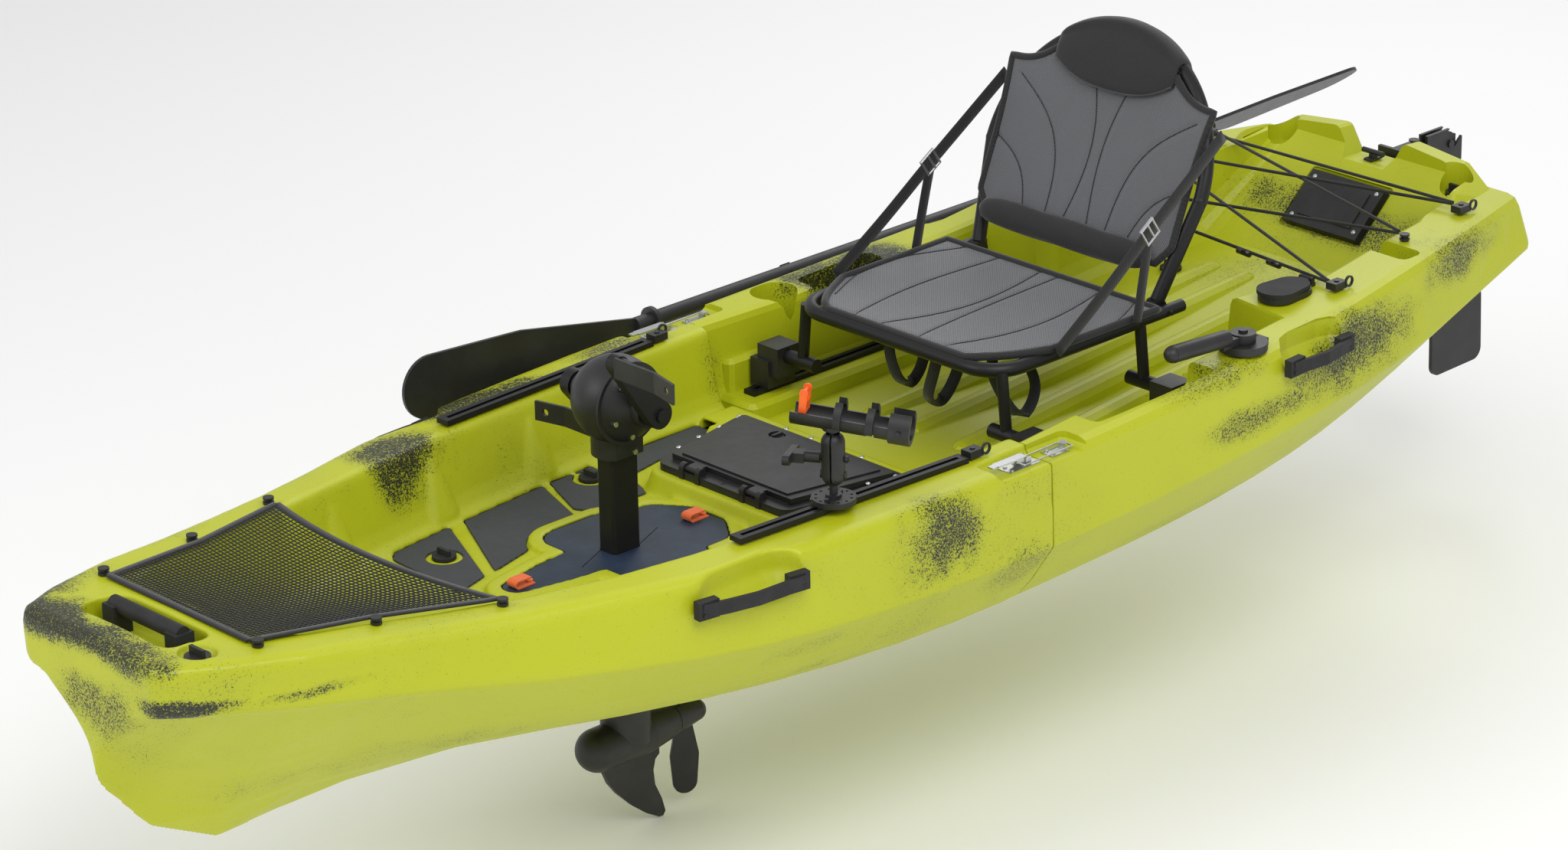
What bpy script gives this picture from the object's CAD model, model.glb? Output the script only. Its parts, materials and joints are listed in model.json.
"""Pedal boat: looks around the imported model. Metres, +X to the bow, +Y to port, +Z up."""
import json
import math

import bmesh
import bpy
from mathutils import Matrix, Vector


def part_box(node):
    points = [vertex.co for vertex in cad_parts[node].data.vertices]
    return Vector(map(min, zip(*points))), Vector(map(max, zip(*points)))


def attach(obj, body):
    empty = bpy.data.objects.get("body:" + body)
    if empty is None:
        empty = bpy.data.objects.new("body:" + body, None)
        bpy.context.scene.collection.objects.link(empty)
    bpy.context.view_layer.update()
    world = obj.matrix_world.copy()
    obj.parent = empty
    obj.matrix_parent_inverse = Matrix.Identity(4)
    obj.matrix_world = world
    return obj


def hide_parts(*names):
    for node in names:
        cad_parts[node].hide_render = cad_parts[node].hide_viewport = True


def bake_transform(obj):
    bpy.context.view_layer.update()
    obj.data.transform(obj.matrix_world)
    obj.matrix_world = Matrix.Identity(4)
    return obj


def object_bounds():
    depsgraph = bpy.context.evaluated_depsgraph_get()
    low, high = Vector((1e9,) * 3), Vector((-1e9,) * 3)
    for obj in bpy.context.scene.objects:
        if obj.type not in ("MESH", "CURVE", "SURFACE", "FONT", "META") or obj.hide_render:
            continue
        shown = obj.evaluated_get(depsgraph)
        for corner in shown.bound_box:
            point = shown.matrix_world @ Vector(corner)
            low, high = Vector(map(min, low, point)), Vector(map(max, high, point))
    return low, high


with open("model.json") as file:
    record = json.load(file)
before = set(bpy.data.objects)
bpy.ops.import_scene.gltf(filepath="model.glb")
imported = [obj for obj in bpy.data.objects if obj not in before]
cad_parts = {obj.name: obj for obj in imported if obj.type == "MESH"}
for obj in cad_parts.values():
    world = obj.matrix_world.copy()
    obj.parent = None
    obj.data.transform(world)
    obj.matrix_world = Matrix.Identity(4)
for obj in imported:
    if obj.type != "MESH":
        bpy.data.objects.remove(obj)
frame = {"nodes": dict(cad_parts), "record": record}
NODES = frame["nodes"]
cad_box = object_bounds()
MM = 0.001


# ---------- camera, light and floor ----------
def make_camera():
    """The photograph's view: its direction, its roll and its distance."""
    azimuth, elevation, roll = (math.radians(a) for a in (136.61, 22.04, -1.04))
    back = Vector((math.sin(azimuth) * math.cos(elevation),
                   -math.cos(azimuth) * math.cos(elevation), math.sin(elevation)))
    right = Vector((math.cos(azimuth), math.sin(azimuth), 0))
    up = back.cross(right)
    c, s = math.cos(roll), math.sin(roll)
    turned_right = right * c + up * s
    turned_up = up * c - right * s
    data = bpy.data.cameras.new("camera")
    data.sensor_width = 36
    data.lens = 118.3
    data.clip_end = 60
    cam = bpy.data.objects.new("camera", data)
    cam.matrix_world = Matrix((
        (turned_right.x, turned_up.x, back.x, 5.465),
        (turned_right.y, turned_up.y, back.y, 5.713),
        (turned_right.z, turned_up.z, back.z, 3.507),
        (0, 0, 0, 1)))
    bpy.context.scene.collection.objects.link(cam)
    bpy.context.scene.camera = cam


def area_light(name, place, target, size, power):
    data = bpy.data.lights.new(name, "AREA")
    data.shape = "RECTANGLE"
    data.size, data.size_y = size
    data.energy = power
    light = bpy.data.objects.new(name, data)
    light.location = place
    light.rotation_euler = (Vector(target) - Vector(place)).to_track_quat("-Z", "Y").to_euler()
    bpy.context.scene.collection.objects.link(light)


def make_studio():
    bpy.context.scene.view_settings.view_transform = "Standard"
    world = bpy.data.worlds.new("studio")
    bpy.context.scene.world = world
    world.use_nodes = True
    shade = world.node_tree.nodes["Background"]
    shade.inputs["Color"].default_value = (1, 1, 1, 1)
    shade.inputs["Strength"].default_value = 0.62
    middle = (0, 0, 0.25)
    area_light("key", (1.5, 3.5, 4.5), middle, (4.0, 3.0), 150)
    area_light("fill", (4.5, -1.5, 3.5), middle, (3.0, 3.0), 70)
    area_light("rim", (-4.5, -2.0, 3.5), middle, (3.0, 2.0), 60)
    bpy.ops.mesh.primitive_plane_add(size=60, location=(0, 0, cad_box[0].z - 0.002))
    floor = bpy.context.object
    floor.name = "floor"
    m = bpy.data.materials.new("floor")
    m.use_nodes = True
    b = m.node_tree.nodes["Principled BSDF"]
    b.inputs["Base Color"].default_value = (0.95, 0.95, 0.95, 1)
    b.inputs["Roughness"].default_value = 0.9
    floor.data.materials.append(m)


# ---------- materials ----------
class Nodes:
    """Short calls for building one material's node tree."""

    def __init__(self, name):
        self.material = bpy.data.materials.new(name)
        self.material.use_nodes = True
        self.tree = self.material.node_tree
        self.shader = self.tree.nodes["Principled BSDF"]
        self.place = self.tree.nodes.new("ShaderNodeTexCoord").outputs["Object"]

    def link(self, a, b):
        self.tree.links.new(a, b)

    def node(self, kind, inputs=(), **settings):
        n = self.tree.nodes.new(kind)
        for k, v in settings.items():
            setattr(n, k, v)
        for k, v in dict(inputs).items():
            if isinstance(v, bpy.types.NodeSocket):
                self.link(v, n.inputs[k])
            else:
                n.inputs[k].default_value = v
        return n

    def noise(self, scale, detail=3.0, rough=0.55, at=None):
        inputs = {"Vector": at or self.place, "Scale": scale, "Detail": detail, "Roughness": rough}
        return self.node("ShaderNodeTexNoise", inputs).outputs["Fac"]

    def math(self, op, a, b=0.0, clamp=False):
        return self.node("ShaderNodeMath", {0: a, 1: b}, operation=op, use_clamp=clamp).outputs[0]

    def step(self, value, low, high):
        inputs = {0: value, 1: low, 2: high}
        return self.node("ShaderNodeMapRange", inputs, interpolation_type="SMOOTHSTEP").outputs[0]

    def mix(self, share, a, b):
        n = self.node("ShaderNodeMix", {0: share}, data_type="RGBA")
        for socket, v in ((n.inputs[6], a), (n.inputs[7], b)):
            if isinstance(v, bpy.types.NodeSocket):
                self.link(v, socket)
            else:
                socket.default_value = (*v, 1)
        return n.outputs[2]

    def bump(self, height, strength, distance, after=None):
        inputs = {"Height": height, "Strength": strength, "Distance": distance}
        if after is not None:
            inputs["Normal"] = after
        return self.node("ShaderNodeBump", inputs).outputs[0]

    def finish(self, colour=None, rough=None, normal=None, metal=None, sheen=None):
        for value, key in ((colour, "Base Color"), (rough, "Roughness"),
                           (normal, "Normal"), (metal, "Metallic")):
            if value is None:
                continue
            if isinstance(value, bpy.types.NodeSocket):
                self.link(value, self.shader.inputs[key])
            else:
                self.shader.inputs[key].default_value = value
        if sheen:
            self.shader.inputs["Sheen Weight"].default_value = sheen
            self.shader.inputs["Sheen Roughness"].default_value = 0.4
        return self.material


LIME = (0.52, 0.56, 0.008)
LIME_DEEP = (0.43, 0.47, 0.006)
SMOKE = (0.016, 0.018, 0.010)
# Smoky patches of the moulding: where, how far each way, how strong
PATCHES = [
    ((1.47, -0.05, 0.40), (0.07, 0.26, 0.035), 1.0),
    ((1.40, -0.22, 0.41), (0.13, 0.06, 0.05), 0.95),
    ((1.20, -0.30, 0.41), (0.20, 0.05, 0.04), 0.7),
    ((1.45, 0.19, 0.33), (0.14, 0.07, 0.022), 1.0),
    ((1.33, 0.26, 0.325), (0.16, 0.05, 0.014), 0.75),
    ((1.47, 0.02, 0.30), (0.05, 0.10, 0.05), 0.6),
    ((0.95, -0.36, 0.40), (0.24, 0.05, 0.04), 0.6),
    ((0.44, 0.47, 0.16), (0.10, 0.08, 0.035), 0.85),
    ((0.36, 0.47, 0.09), (0.18, 0.12, 0.03), 0.65),
    ((0.14, 0.46, 0.30), (0.10, 0.06, 0.10), 0.8),
    ((-0.03, 0.46, 0.17), (0.09, 0.08, 0.06), 0.45),
    ((0.62, -0.34, 0.32), (0.12, 0.06, 0.09), 0.9),
    ((0.36, -0.40, 0.355), (0.18, 0.05, 0.03), 0.9),
    ((0.05, -0.42, 0.36), (0.14, 0.05, 0.03), 0.7),
    ((-0.10, -0.30, 0.30), (0.05, 0.09, 0.07), 0.5),
    ((-0.44, -0.38, 0.35), (0.15, 0.10, 0.09), 1.0),
    ((-0.52, 0.42, 0.36), (0.14, 0.05, 0.03), 0.5),
    ((-0.95, 0.45, 0.32), (0.24, 0.05, 0.09), 0.8),
    ((-1.28, 0.39, 0.38), (0.20, 0.07, 0.05), 0.7),
    ((-0.62, 0.46, 0.27), (0.16, 0.04, 0.03), 0.6),
    ((-1.30, 0.0, 0.33), (0.06, 0.22, 0.05), 0.7),
    ((-1.00, -0.34, 0.38), (0.16, 0.06, 0.04), 0.5),
    ((0.95, -0.05, 0.12), (0.32, 0.22, 0.05), 0.45),
    ((-0.70, 0.30, 0.10), (0.40, 0.20, 0.03), 0.35),
]


def hull_plastic():
    n = Nodes("lime_plastic")
    warp = n.noise(5.0, 4.0, 0.6)
    cloud = n.noise(2.3, 5.0, 0.65)
    smoke = n.math("MULTIPLY", n.step(cloud, 0.50, 0.80), 0.42)
    for centre, reach, strength in PATCHES:
        shifted = n.node("ShaderNodeVectorMath", {0: n.place, 1: centre}, operation="SUBTRACT").outputs[0]
        scaled = n.node("ShaderNodeVectorMath", {0: shifted, 1: reach}, operation="DIVIDE").outputs[0]
        far = n.node("ShaderNodeVectorMath", {0: scaled}, operation="LENGTH").outputs["Value"]
        ragged = n.math("ADD", far, n.math("MULTIPLY", n.math("SUBTRACT", warp, 0.5), 2.4))
        near = n.math("MULTIPLY", n.step(ragged, 1.25, 0.35), strength)
        smoke = n.math("MAXIMUM", smoke, near)
    grain = n.noise(300.0, 3.0, 0.75)
    fine = n.noise(900.0, 2.0, 0.6)
    grit = n.math("ADD", n.math("MULTIPLY", grain, 0.7), n.math("MULTIPLY", fine, 0.3))
    # More of the grains turn black where the smoke is thick
    edge = n.math("SUBTRACT", 0.625, n.math("MULTIPLY", smoke, 0.235))
    fleck = n.node("ShaderNodeMapRange", {0: grit, 1: edge, 2: n.math("ADD", edge, 0.05)}).outputs[0]
    tone = n.mix(n.noise(1.7, 3.0, 0.5), LIME, LIME_DEEP)
    tone = n.mix(n.math("MULTIPLY", smoke, 0.45), tone, (0.16, 0.17, 0.02))
    colour = n.mix(fleck, tone, SMOKE)
    rough = n.math("ADD", 0.36, n.math("MULTIPLY", grain, 0.16))
    normal = n.bump(n.noise(420.0, 2.0), 0.12, 0.0006, n.bump(n.noise(9.0, 2.0), 0.10, 0.006))
    m = n.finish(colour, rough, normal)
    n.shader.inputs["Subsurface Weight"].default_value = 0.0
    return m


def plastic(name, colour, rough=0.45, grain=650.0, depth=0.0004, wear=0.35):
    """Moulded plastic: fine grain, slight mottling, paler rubbed spots."""
    n = Nodes(name)
    tone = n.step(n.noise(14.0, 4.0, 0.6), 0.35, 0.75)
    lighter = tuple(min(1.0, c * (1 + wear) + 0.006) for c in colour)
    col = n.mix(tone, colour, lighter)
    dust = n.step(n.noise(180.0, 3.0, 0.7), 0.62, 0.80)
    col = n.mix(n.math("MULTIPLY", dust, 0.18), col, tuple(min(1, c + 0.05) for c in colour))
    r = n.math("ADD", rough, n.math("MULTIPLY", n.noise(60.0), 0.14))
    return n.finish(col, r, n.bump(n.noise(grain, 2.0), 0.25, depth))


def rubber(name, colour, rough=0.72):
    n = Nodes(name)
    col = n.mix(n.step(n.noise(30.0, 4.0), 0.3, 0.8), colour, tuple(c * 1.5 + 0.004 for c in colour))
    return n.finish(col, rough, n.bump(n.noise(900.0, 2.0), 0.35, 0.0004))


def metal(name, colour, rough=0.28, brush=(4.0, 60.0, 60.0), metallic=1.0, anodised=False):
    n = Nodes(name)
    stretched = n.node("ShaderNodeVectorMath", {0: n.place, 1: brush}, operation="MULTIPLY").outputs[0]
    streak = n.noise(12.0, 4.0, 0.6, at=stretched)
    col = n.mix(streak, colour, tuple(min(1, c * (1.35 if not anodised else 1.8) + 0.004) for c in colour))
    r = n.math("ADD", rough, n.math("MULTIPLY", streak, 0.16))
    return n.finish(col, r, n.bump(streak, 0.08, 0.0003), metallic)


def ribbed_foam(name, colour):
    """Closed-cell deck foam with fine grooves along the boat."""
    n = Nodes(name)
    y = n.node("ShaderNodeSeparateXYZ", {0: n.place}).outputs["Y"]
    rib = n.math("PINGPONG", n.math("MULTIPLY", y, 1000.0), 2.0)
    groove = n.step(rib, 0.1, 0.9)
    col = n.mix(groove, tuple(c * 0.45 for c in colour), colour)
    col = n.mix(n.math("MULTIPLY", n.noise(40.0, 4.0), 0.35), col, tuple(c * 1.5 for c in colour))
    return n.finish(col, 0.82, n.bump(groove, 0.7, 0.0012, n.bump(n.noise(700.0), 0.3, 0.0004)))


def webbing(name, colour, across="Y", pitch=1.6):
    """Woven strap: ribs across, a slight sheen."""
    n = Nodes(name)
    parts = n.node("ShaderNodeSeparateXYZ", {0: n.place}).outputs
    rib = n.math("PINGPONG", n.math("MULTIPLY", parts["Z"], 1000.0), pitch / 2)
    weave = n.math("PINGPONG", n.math("MULTIPLY", n.math("ADD", parts["X"], parts[across]), 1000.0), pitch)
    both = n.math("ADD", rib, n.math("MULTIPLY", weave, 0.6))
    dark, light, worn = (tuple(min(1, c * k + lift) for c in colour)
                         for k, lift in ((0.55, 0), (1.25, 0.008), (1.6, 0.01)))
    col = n.mix(n.step(both, 0.2, 1.4), dark, light)
    col = n.mix(n.math("MULTIPLY", n.noise(25.0, 4.0), 0.3), col, worn)
    return n.finish(col, 0.8, n.bump(both, 0.5, 0.0006), sheen=0.25)


def seat_mesh(name):
    """Two-tone open weave on a diagonal, laid out in metres on the sheet's own map."""
    n = Nodes(name)
    uv = n.tree.nodes.new("ShaderNodeUVMap").outputs[0]
    parts = n.node("ShaderNodeSeparateXYZ", {0: uv}).outputs
    a = n.math("MULTIPLY", n.math("ADD", parts["X"], parts["Y"]), 1000.0 / 3.2)
    b = n.math("MULTIPLY", n.math("SUBTRACT", parts["X"], parts["Y"]), 1000.0 / 3.2)
    wa = n.math("PINGPONG", a, 0.5)
    wb = n.math("PINGPONG", b, 0.5)
    cell = n.math("MULTIPLY", wa, wb)
    thread = n.step(cell, 0.015, 0.14)
    col = n.mix(thread, (0.018, 0.019, 0.022), (0.29, 0.30, 0.32))
    col = n.mix(n.math("MULTIPLY", n.noise(18.0, 4.0), 0.35), col, (0.13, 0.135, 0.15))
    return n.finish(col, 0.62, n.bump(thread, 0.6, 0.0009), sheen=0.3)


def braided(name, colour):
    n = Nodes(name)
    parts = n.node("ShaderNodeSeparateXYZ", {0: n.place}).outputs
    total = n.math("ADD", n.math("ADD", parts["X"], parts["Y"]), parts["Z"])
    a = n.math("PINGPONG", n.math("MULTIPLY", total, 1000.0), 1.4)
    b = n.math("PINGPONG", n.math("MULTIPLY", n.math("SUBTRACT", parts["X"], parts["Y"]), 1000.0), 1.4)
    weave = n.math("MULTIPLY", a, b)
    col = n.mix(n.step(weave, 0.1, 1.4), colour, tuple(c * 2.2 + 0.01 for c in colour))
    return n.finish(col, 0.7, n.bump(weave, 0.5, 0.0006), sheen=0.2)


BLACK = (0.012, 0.012, 0.013)
MATERIALS = {
    "lime_plastic": hull_plastic(),
    "foam_pad": ribbed_foam("foam_pad", (0.058, 0.062, 0.070)),
    "navy_plate": plastic("navy_plate", (0.010, 0.022, 0.048), 0.42),
    "orange_webbing": webbing("orange_webbing", (0.86, 0.13, 0.022)),
    "orange_plastic": plastic("orange_plastic", (0.88, 0.12, 0.010), 0.38),
    "black_plastic": plastic("black_plastic", BLACK, 0.38),
    "black_gloss": plastic("black_gloss", (0.008, 0.008, 0.009), 0.2),
    "black_rubber": rubber("black_rubber", (0.011, 0.011, 0.012)),
    "black_fabric": webbing("black_fabric", (0.010, 0.010, 0.011)),
    "black_cord": braided("black_cord", (0.008, 0.008, 0.009)),
    "net_fabric": webbing("net_fabric", (0.008, 0.008, 0.009), pitch=0.9),
    "grey_mesh": seat_mesh("grey_mesh"),
    "black_aluminium": metal("black_aluminium", (0.013, 0.013, 0.014), 0.34, metallic=0.55, anodised=True),
    "stainless": metal("stainless", (0.48, 0.49, 0.50), 0.22),
}


def smooth_node(obj, angle=35):
    """Smooth shading across soft edges only; no vertex moves."""
    mesh = obj.data
    if mesh.has_custom_normals:
        return
    mesh.polygons.foreach_set("use_smooth", [True] * len(mesh.polygons))
    mesh.set_sharp_from_angle(angle=math.radians(angle))


def dress_nodes():
    """Each CAD node gets the material of its slot."""
    slots = {s["node"]: s["material_slot"] for s in frame["record"]["subparts"]}
    for name, obj in NODES.items():
        obj.data.materials.clear()
        obj.data.materials.append(MATERIALS[slots[name]])
        smooth_node(obj)


# ---------- mesh helpers ----------
def add_mesh(name, verts, faces, slot, body, uvs=None, smooth=True):
    mesh = bpy.data.meshes.new(name)
    mesh.from_pydata([tuple(v) for v in verts], [], faces)
    mesh.validate()
    obj = bpy.data.objects.new(name, mesh)
    bpy.context.scene.collection.objects.link(obj)
    mesh.materials.append(MATERIALS[slot])
    if uvs is not None:
        layer = mesh.uv_layers.new(name="map")
        for loop in mesh.loops:
            layer.data[loop.index].uv = uvs[loop.vertex_index]
    if smooth:
        mesh.polygons.foreach_set("use_smooth", [True] * len(mesh.polygons))
    if body:
        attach(obj, body)
    return obj


def add_tube(name, points, radius, slot, body, closed=False, sides=8, smooth_path=True):
    """A round tube along points, swept with a steady frame."""
    pts = [Vector(p) for p in points]
    if smooth_path and len(pts) > 2:
        pts = spline(pts, closed)
    count = len(pts)
    verts, faces = [], []
    side = None
    for i, p in enumerate(pts):
        before = pts[i - 1] if i or closed else p
        after = pts[(i + 1) % count] if i < count - 1 or closed else p
        along = (after - before).normalized()
        if side is None:
            side = along.orthogonal().normalized()
        side = (side - along * side.dot(along)).normalized()
        other = along.cross(side)
        for k in range(sides):
            a = 2 * math.pi * k / sides
            verts.append(p + (side * math.cos(a) + other * math.sin(a)) * radius)
    rings = count if closed else count - 1
    for i in range(rings):
        for k in range(sides):
            a, b = i * sides + k, i * sides + (k + 1) % sides
            c, d = (b + sides) % (count * sides), (a + sides) % (count * sides)
            faces.append((a, b, c, d))
    if not closed:
        faces.append(tuple(reversed(range(sides))))
        faces.append(tuple(range((count - 1) * sides, count * sides)))
    return add_mesh(name, verts, faces, slot, body)


def spline(pts, closed=False, parts=5):
    """Catmull-Rom points through pts."""
    out = []
    count = len(pts)
    for i in range(count if closed else count - 1):
        p0 = pts[i - 1] if i or closed else pts[0] * 2 - pts[1]
        p1, p2 = pts[i], pts[(i + 1) % count]
        p3 = pts[(i + 2) % count] if closed or i + 2 < count else p2 * 2 - p1
        for k in range(parts):
            t = k / parts
            out.append(0.5 * ((2 * p1) + (p2 - p0) * t + (2 * p0 - 5 * p1 + 4 * p2 - p3) * t * t
                              + (3 * p1 - p0 - 3 * p2 + p3) * t ** 3))
    if not closed:
        out.append(pts[-1])
    return out


make_camera()
make_studio()
dress_nodes()


# ---------- hull skin ----------
def moulded(node, voxel=0.004, swell=0.0008, share=0.34):
    """A softened copy of a hull half: swollen a little so that the remesh leaves no gaps in its wall, then
    remeshed, its edges eased, and thinned out."""
    obj = bpy.data.objects.new(node + "_skin", NODES[node].data.copy())
    bpy.context.scene.collection.objects.link(obj)
    grow = obj.modifiers.new("grow", "DISPLACE")
    grow.strength = swell
    grow.mid_level = 0.0
    remesh = obj.modifiers.new("remesh", "REMESH")
    remesh.mode = "VOXEL"
    remesh.voxel_size = voxel
    smooth = obj.modifiers.new("smooth", "SMOOTH")
    smooth.factor = 0.5
    smooth.iterations = 4
    thin = obj.modifiers.new("thin", "DECIMATE")
    thin.ratio = share
    bpy.context.view_layer.objects.active = obj
    for m in list(obj.modifiers):
        bpy.ops.object.modifier_apply(modifier=m.name)
    obj.data.materials.clear()
    obj.data.materials.append(MATERIALS["lime_plastic"])
    obj.data.polygons.foreach_set("use_smooth", [True] * len(obj.data.polygons))
    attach(obj, "hull")
    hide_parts(node)
    return obj


# ---------- seat ----------
BACK_LEAN = math.radians(22.6)
HINGE = Vector((-0.607, 0, 0.402))


def on_back(x, y, z):
    """A point of the reclined back: x forward of the tubes, z up along it, in metres."""
    c, s = math.cos(BACK_LEAN), math.sin(BACK_LEAN)
    return HINGE + Vector((x * c - z * s, y, x * s + z * c))


def groove(point, lines, depth, width):
    """How deep the sewn lines press into the sheet at a point of its own plane."""
    best = 1e9
    for line in lines:
        for a, b in zip(line, line[1:]):
            ab = b - a
            t = max(0.0, min(1.0, (point - a).dot(ab) / ab.length_squared))
            best = min(best, (point - a - ab * t).length)
    return depth * math.exp(-((best / width) ** 2))


def arc_line(a, b, bulge, parts=14):
    """A sewn line from a to b that bows sideways by bulge."""
    a, b = Vector(a), Vector(b)
    side = Vector((-(b - a).y, (b - a).x)).normalized()
    return [a.lerp(b, i / parts) + side * bulge * math.sin(math.pi * i / parts) for i in range(parts + 1)]


def cloth_sheet(name, plane, place, nu, nv, slot, body, thickness, lines=()):
    """A sheet with two faces and a rim: plane(u, v) is its own 2D point, place(point, sink) the frame's."""
    grid = [[Vector(plane(-1 + 2 * i / nu, j / nv)) for i in range(nu + 1)] for j in range(nv + 1)]
    verts, uvs, faces = [], [], []
    for side in (0, 1):
        for row in grid:
            for p in row:
                sink = groove(p, lines, 0.0022, 0.0042) if lines else 0
                verts.append(place(p, thickness * side + sink))
                uvs.append((p.x, p.y))
    cols = nu + 1
    half = cols * (nv + 1)
    for j in range(nv):
        for i in range(nu):
            a = j * cols + i
            faces.append((a, a + 1, a + cols + 1, a + cols))
            faces.append((half + a, half + a + cols, half + a + cols + 1, half + a + 1))
    rim = [i for i in range(cols)] + [j * cols + nu for j in range(1, nv + 1)]
    rim += [nv * cols + i for i in range(nu - 1, -1, -1)] + [j * cols for j in range(nv - 1, 0, -1)]
    for a, b in zip(rim, rim[1:] + rim[:1]):
        faces.append((a, half + a, half + b, b))
    obj = add_mesh(name, verts, faces, slot, body, uvs)
    return obj, [grid[i // cols][i % cols] for i in rim]


PAN_FRONT, PAN_REAR = -0.197, -0.572


def pan_plane(u, v):
    """v 0 at the front edge; the front corners are cut back round the frame's loops."""
    half = 0.161 + 0.084 * min(1.0, v * 3.2) ** 0.6 + 0.004 * v
    x = PAN_FRONT + (PAN_REAR - PAN_FRONT) * v
    return x, half * u


def pan_place(p, sink):
    v = (p.x - PAN_FRONT) / (PAN_REAR - PAN_FRONT)
    u = p.y / 0.245
    sag = 0.010 * max(0, 1 - u * u) * math.sin(math.pi * min(1, max(0, v)))
    lip = 0.004 * max(0.0, 1 - v / 0.05) ** 2
    return Vector((p.x, p.y, 0.4195 - sag - lip - sink))


BACK_LOW, BACK_CORNER, BACK_TOP = 0.072, 0.344, 0.400


def back_plane(u, v):
    """v 0 at the lower edge; the upper corners are cut out in hollow curves beside the headrest."""
    half = 0.198 + 0.026 * min(1.0, v * 8) + 0.010 * max(0.0, (v - 0.45) / 0.55) ** 2
    y = half * u
    share = max(0.0, min(1.0, (abs(y) - 0.118) / 0.116))
    top = BACK_CORNER + (BACK_TOP - BACK_CORNER) * (1 - share) ** 2.4
    return y, BACK_LOW + (top - BACK_LOW) * v


def back_place(p, sink):
    u = p.x / 0.23
    v = (p.y - BACK_LOW) / (BACK_TOP - BACK_LOW)
    sag = 0.008 * max(0, 1 - u * u) * math.sin(math.pi * min(1, max(0, v)))
    return on_back(0.0185 - sag - sink, p.x, p.y)


def binding(name, rim, place, radius, slot, body):
    """Folded tape along a sheet's edge."""
    line = [place(p, 0.0015) for p in rim[::2]]
    return add_tube(name, line, radius, slot, body, closed=True, sides=8, smooth_path=False)


def seat_cloth():
    fan = []
    for s in (-1, 1):
        fan.append(arc_line((-0.205, s * 0.045), (-0.565, s * 0.020), s * 0.020))
        fan.append(arc_line((-0.200, s * 0.105), (-0.565, s * 0.120), s * -0.028))
        fan.append(arc_line((-0.250, s * 0.200), (-0.565, s * 0.200), s * -0.050))
    pan, rim = cloth_sheet("seat_pan_cloth", pan_plane, pan_place, 110, 84, "grey_mesh", "seat", 0.003, fan)
    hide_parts("seat_pan_mesh")
    binding("seat_pan_binding", rim, pan_place, 0.0072, "black_fabric", "seat")
    for i, line in enumerate(fan):
        stitch("seat_pan_seam_%d" % i, line, pan_place, "seat")
    fan = []
    for s in (-1, 1):
        fan.append(arc_line((s * 0.028, 0.095), (s * 0.060, 0.392), s * 0.030))
        fan.append(arc_line((s * 0.070, 0.090), (s * 0.205, 0.318), s * 0.045))
        fan.append(arc_line((s * 0.120, 0.088), (s * 0.222, 0.205), s * 0.022))
    back, rim = cloth_sheet("seat_back_cloth", back_plane, back_place, 110, 84,
                            "grey_mesh", "seat_back", 0.003, fan)
    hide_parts("seat_back_mesh")
    binding("seat_back_binding", rim, back_place, 0.0066, "black_fabric", "seat_back")
    for i, line in enumerate(fan):
        stitch("seat_back_seam_%d" % i, line, back_place, "seat_back")


def stitch(name, line, place, body):
    """A row of short thread stitches along a sewn line, lying in its groove."""
    points = [place(p, 0.0008) for p in line]
    add_tube(name, points, 0.0008, "black_fabric", body, sides=6)


def closed_profile(name, rings, slot, body):
    """A closed skin over rings of equal length, with both ends capped by a shrinking centre point."""
    count = len(rings[0])
    verts = [p for ring in rings for p in ring]
    faces = []
    for j in range(len(rings) - 1):
        for i in range(count):
            a, b = j * count + i, j * count + (i + 1) % count
            faces.append((a, b, b + count, a + count))
    for ring, flip in ((0, True), (len(rings) - 1, False)):
        centre = sum(rings[ring], Vector()) / count
        verts.append(centre)
        for i in range(count):
            a, b = ring * count + i, ring * count + (i + 1) % count
            faces.append((b, a, len(verts) - 1) if flip else (a, b, len(verts) - 1))
    return add_mesh(name, verts, faces, slot, body)


def headrest():
    """A padded sleeve folded over the top of the hoop, its front flap cut to a curve."""
    rings = []
    steps = 48
    for i in range(steps + 1):
        u = -1 + 2 * i / steps
        y = 0.136 * u
        hoop = 0.195 + math.sqrt(0.243 ** 2 - y * y)
        puff = (1 - abs(u) ** 6) ** 0.5 if abs(u) < 1 else 0.0
        thick = 0.0035 + 0.0065 * puff
        low = 0.330 + 0.034 * abs(u) ** 2.6
        low_back = 0.352
        over = hoop + 0.0135
        inner = []
        outer = []
        for k in range(10):
            z = low + (over - 0.012 - low) * k / 9
            inner.append((0.0200, z))
            outer.append((0.0200 + thick * (0.35 + 0.65 * math.sin(math.pi * (k + 0.6) / 10)) + 0.0005, z))
        for k in range(1, 8):
            a = math.pi * k / 8
            inner.append((0.0025 + 0.0175 * math.cos(a), over - 0.012 + 0.0125 * math.sin(a)))
            outer.append((0.0025 + (0.0175 + thick) * math.cos(a),
                          over - 0.012 + (0.0125 + thick * 0.8) * math.sin(a)))
        for k in range(10):
            z = over - 0.012 + (low_back - over + 0.012) * k / 9
            inner.append((-0.0150, z))
            outer.append((-0.0150 - thick * (0.35 + 0.65 * math.sin(math.pi * (9.4 - k) / 10)) - 0.0005, z))
        rings.append([on_back(x, y, z) for x, z in outer + inner[::-1]])
    rest = closed_profile("headrest_sleeve", rings, "black_fabric", "seat_back")
    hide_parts("seat_pads")
    edge = [on_back(0.0245, 0.134 * u, 0.3305 + 0.034 * abs(u) ** 2.6)
            for u in (-1 + i / 12 for i in range(25))]
    add_tube("headrest_piping", edge, 0.0018, "grey_mesh", "seat_back", sides=6)


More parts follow.
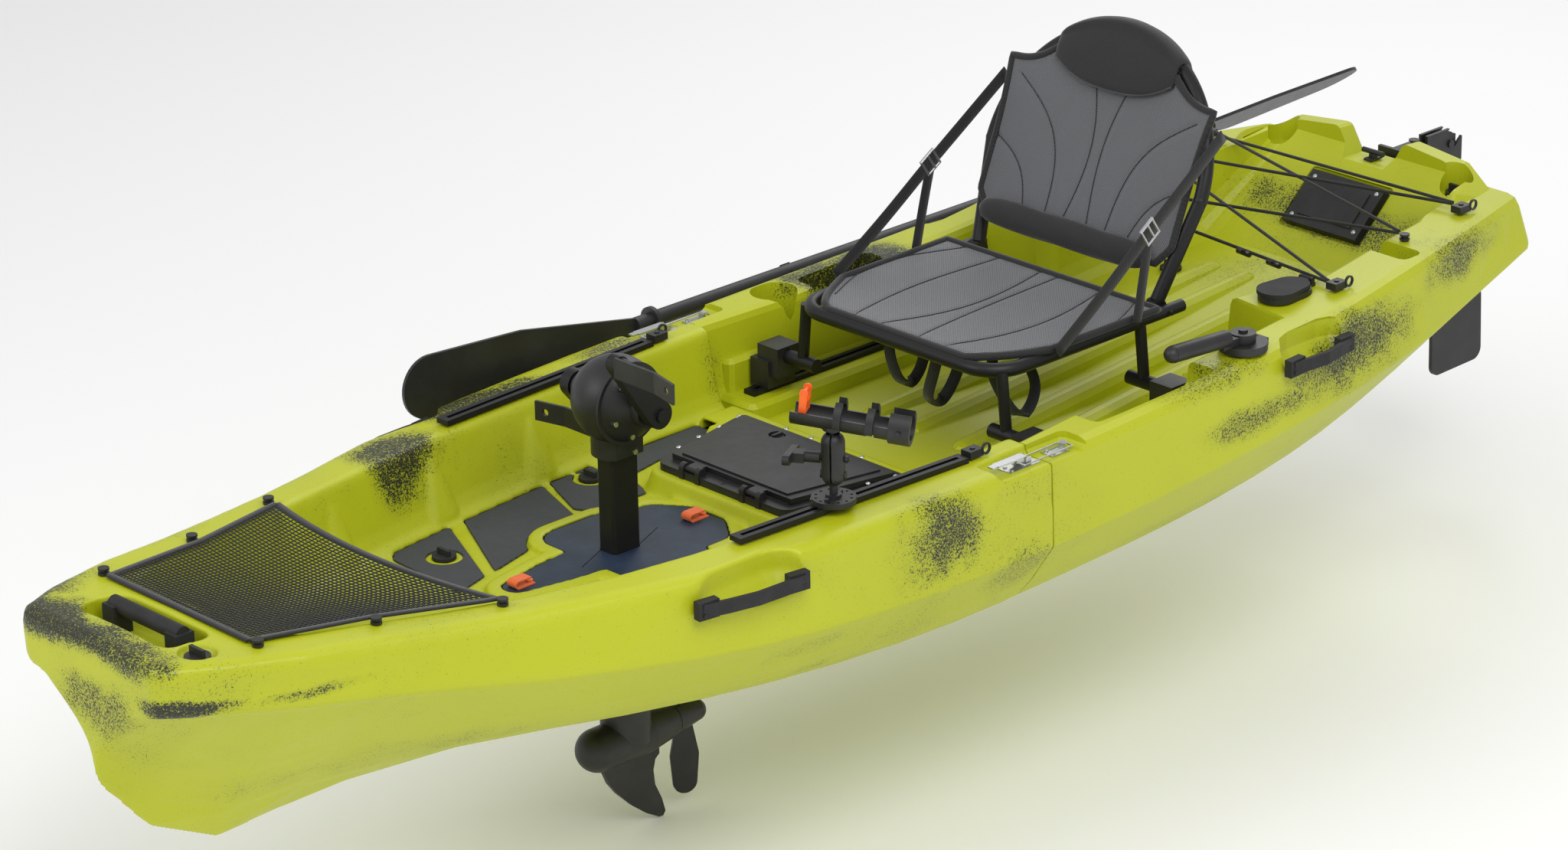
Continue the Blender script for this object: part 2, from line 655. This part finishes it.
def lumbar_roll():
    rings = []
    for i in range(41):
        u = -1 + i / 20
        puff = max(0.0, 1 - abs(u) ** 8) ** 0.5
        ring = []
        for k in range(28):
            a = 2 * math.pi * k / 28
            wrinkle = 1 + 0.025 * math.sin(5 * a + 9 * u) * puff
            x = 0.037 + 0.0175 * (0.25 + 0.75 * puff) * math.cos(a) * wrinkle
            z = 0.076 + 0.0250 * (0.25 + 0.75 * puff) * math.sin(a) * wrinkle
            ring.append(on_back(x, 0.196 * u, z))
        rings.append(ring)
    roll = closed_profile("lumbar_roll", rings, "black_fabric", "seat_back")


def ribbon(name, points, width, thickness, slot, body, normal=(0, 1, 0)):
    """Flat webbing along points, its face towards normal."""
    pts = spline([Vector(p) for p in points], parts=10)
    normal = Vector(normal)
    section = ((-1, -0.4), (-0.96, -1), (0.96, -1), (1, -0.4), (1, 0.4), (0.96, 1), (-0.96, 1), (-1, 0.4))
    rings = []
    for i, p in enumerate(pts):
        along = (pts[min(i + 1, len(pts) - 1)] - pts[max(i - 1, 0)]).normalized()
        across = along.cross(normal).normalized()
        face = across.cross(along).normalized()
        h, t = width / 2, thickness / 2
        rings.append([p + across * h * a + face * t * b for a, b in section])
    return closed_profile(name, rings, slot, body)


def recline_straps():
    for s, side in ((-1, "starboard"), (1, "port")):
        top = on_back(0, s * 0.253, 0.312)
        low = Vector((-0.312, s * 0.263, 0.418))
        mid = top * 0.55 + low * 0.45
        rear = Vector((-0.507, s * 0.261, 0.416))
        path = [top, top.lerp(mid, 0.5), mid, mid.lerp(low, 0.5) - Vector((0, 0, 0.003)), low]
        main = ribbon("recline_strap_%s" % side, path, 0.025, 0.0022, "black_fabric", None)
        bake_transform(main)
        if s < 0:
            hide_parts("recline_straps")
        path = [mid - Vector((0, 0, 0.006)), mid.lerp(rear, 0.5), rear]
        leg = ribbon("rear_strap_%s" % side, path, 0.022, 0.0022, "black_fabric", None)
        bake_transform(leg)
        holder = buckle_piece("strap_buckle_%s" % side, mid, top - low)
        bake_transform(holder)


def buckle_piece(name, place, along):
    along = Vector(along).normalized()
    across = along.cross(Vector((0, 1, 0))).normalized()
    bm = bmesh.new()
    bars = [(across * s * 0.016, along, 0.036) for s in (-1, 1)]
    bars += [(along * t, across, 0.034) for t in (-0.016, 0.002, 0.016)]
    for centre, direction, length in bars:
        frame_of = direction.to_track_quat("Z", "Y").to_matrix().to_4x4()
        matrix = Matrix.Translation(place + centre) @ frame_of
        bmesh.ops.create_cone(bm, cap_ends=True, segments=10, radius1=0.003, radius2=0.003,
                              depth=length, matrix=matrix)
    mesh = bpy.data.meshes.new(name)
    bm.to_mesh(mesh)
    bm.free()
    obj = bpy.data.objects.new(name, mesh)
    bpy.context.scene.collection.objects.link(obj)
    mesh.materials.append(MATERIALS["stainless"])
    smooth_node(obj)
    return obj


# ---------- small fittings ----------
def screw_heads(name, spots, body, radius=0.0045):
    """Domed cross-head screws: (place, way out) pairs, all in one mesh."""
    bm = bmesh.new()
    for place, out in spots:
        turn = Vector(out).to_track_quat("Z", "Y").to_matrix().to_4x4()
        at = Matrix.Translation(Vector(place)) @ turn
        made = bmesh.ops.create_uvsphere(bm, u_segments=16, v_segments=8, radius=radius,
                                         matrix=at @ Matrix.Diagonal((1, 1, 0.45, 1)))
        low = [v for v in made["verts"] if (at.inverted() @ v.co).z < -0.0004]
        bmesh.ops.delete(bm, geom=low, context="VERTS")
    bmesh.ops.holes_fill(bm, edges=[e for e in bm.edges if e.is_boundary], sides=0)
    mesh = bpy.data.meshes.new(name)
    bm.to_mesh(mesh)
    bm.free()
    obj = bpy.data.objects.new(name, mesh)
    bpy.context.scene.collection.objects.link(obj)
    mesh.materials.append(MATERIALS["stainless"])
    smooth_node(obj, 50)
    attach(obj, body)


def fittings():
    cover_lean = math.radians(41.95)
    out = Vector((math.sin(cover_lean), 0, math.cos(cover_lean)))
    down = Vector((math.cos(cover_lean), 0, -math.sin(cover_lean)))
    low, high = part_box("access_cover")
    middle = (low + high) / 2
    long_half = (high - low).x / 2 / math.cos(cover_lean) - 0.022
    wide_half = Vector((0, (high.y - low.y) / 2 - 0.013, 0))
    spots = [(middle + down * (sx * long_half) + wide_half * sy + out * 0.009, out)
             for sx in (-1, 1) for sy in (-1, 1)]
    low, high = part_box("hatch_frame")
    front_half = max(v.co.y for v in NODES["hatch_frame"].data.vertices if v.co.x > high.x - 0.02)
    for t in (0.10, 0.32, 0.54, 0.76):
        half = high.y + (front_half - high.y) * t - 0.007
        for s in (-1, 1):
            spots.append(((low.x + (high.x - low.x) * t, s * half, high.z - 0.0075), (0, 0, 1)))
    for y in (-0.09, -0.03, 0.03, 0.09):
        spots.append(((low.x + 0.0065, y, high.z - 0.0075), (0, 0, 1)))
    screw_heads("deck_screws", spots, "hull")


def crimps():
    """Two sleeves on the straight crossing run of the deck cord."""
    port = Vector((-0.901, 0.344, 0.3995))
    starboard = Vector((-0.901, -0.344, 0.434))
    along = starboard - port
    for i, (a, b) in enumerate(((0.16, 0.20), (0.26, 0.30))):
        add_tube("cord_sleeve_%d" % i, [port + along * a, port + along * b], 0.0062, "black_gloss", "hull",
                 sides=14, smooth_path=False)


def pan_straps():
    """Hook-and-loop straps that hang below the seat pan for holding gear."""
    top = 0.395
    for i, (x, y, drop, lean) in enumerate(((-0.262, -0.075, 0.095, 0.02), (-0.262, 0.045, 0.110, -0.03),
                                            (-0.30, 0.125, 0.100, 0.05))):
        path = [(x, y, top), (x + 0.012, y + lean * 0.3, top - drop * 0.5), (x + 0.004, y + lean, top - drop),
                (x - 0.030, y + lean, top - drop - 0.012), (x - 0.060, y + lean * 0.8, top - drop * 0.7),
                (x - 0.052, y, top)]
        ribbon("pan_strap_%d" % i, path, 0.022, 0.0022, "black_fabric", "seat", normal=(1, 0.2, 0.0))


# ---------- bow net ----------
def bow_net():
    low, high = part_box("bow_net")
    points = [v.co for v in NODES["bow_net"].data.vertices]

    def half_at(x):
        near = [abs(p.y) for p in points if abs(p.x - x) < 0.012]
        return max(near) if near else None

    stations = sorted({round(p.x, 2) for p in points})
    known = [(x, half_at(x), max(p.z for p in points if abs(p.x - x) < 0.012)) for x in stations]

    def at(x):
        for (x0, h0, z0), (x1, h1, z1) in zip(known, known[1:]):
            if x0 <= x <= x1:
                t = (x - x0) / max(1e-9, x1 - x0)
                return h0 + (h1 - h0) * t, z0 + (z1 - z0) * t
        return known[-1][1:] if x > known[-1][0] else known[0][1:]

    length = high.x - low.x
    nu, nv = 46, 46

    def place(u, v):
        x = low.x + length * v
        half, z = at(x)
        bow_in = 0.030 * (1 - abs(u) ** 2) * (1 - v) ** 3
        sag = 0.014 * (1 - u * u) * math.sin(math.pi * v)
        return Vector((x + bow_in, u * (half - 0.004), z - 0.001 - sag))

    verts = [place(-1 + 2 * i / nu, j / nv) for j in range(nv + 1) for i in range(nu + 1)]
    cols = nu + 1
    faces = [(a, a + 1, a + cols + 1, a + cols) for a in (j * cols + i for j in range(nv) for i in range(nu))]
    net = add_mesh("bow_net_strands", verts, faces, "net_fabric", None)
    wires = net.modifiers.new("strands", "WIREFRAME")
    wires.thickness = 0.0026
    wires.use_even_offset = False
    bpy.context.view_layer.objects.active = net
    bpy.ops.object.modifier_apply(modifier=wires.name)
    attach(net, "hull")
    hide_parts("bow_net")
    corners = ((-1, 0), (1, 0), (1, 1), (-1, 1))
    for i, (a, b) in enumerate(zip(corners, corners[1:] + corners[:1])):
        line = [place(a[0] + (b[0] - a[0]) * t / 20, a[1] + (b[1] - a[1]) * t / 20) for t in range(21)]
        ribbon("bow_net_hem_%d" % i, line, 0.013, 0.0026, "net_fabric", "hull", normal=(0, 0, 1))
    return net


# The stern half keeps its CAD skin: the webs beside its rod tubes are too thin to remesh
moulded("hull_front")
seat_cloth()
headrest()
lumbar_roll()
recline_straps()
pan_straps()
bow_net()
fittings()
crimps()
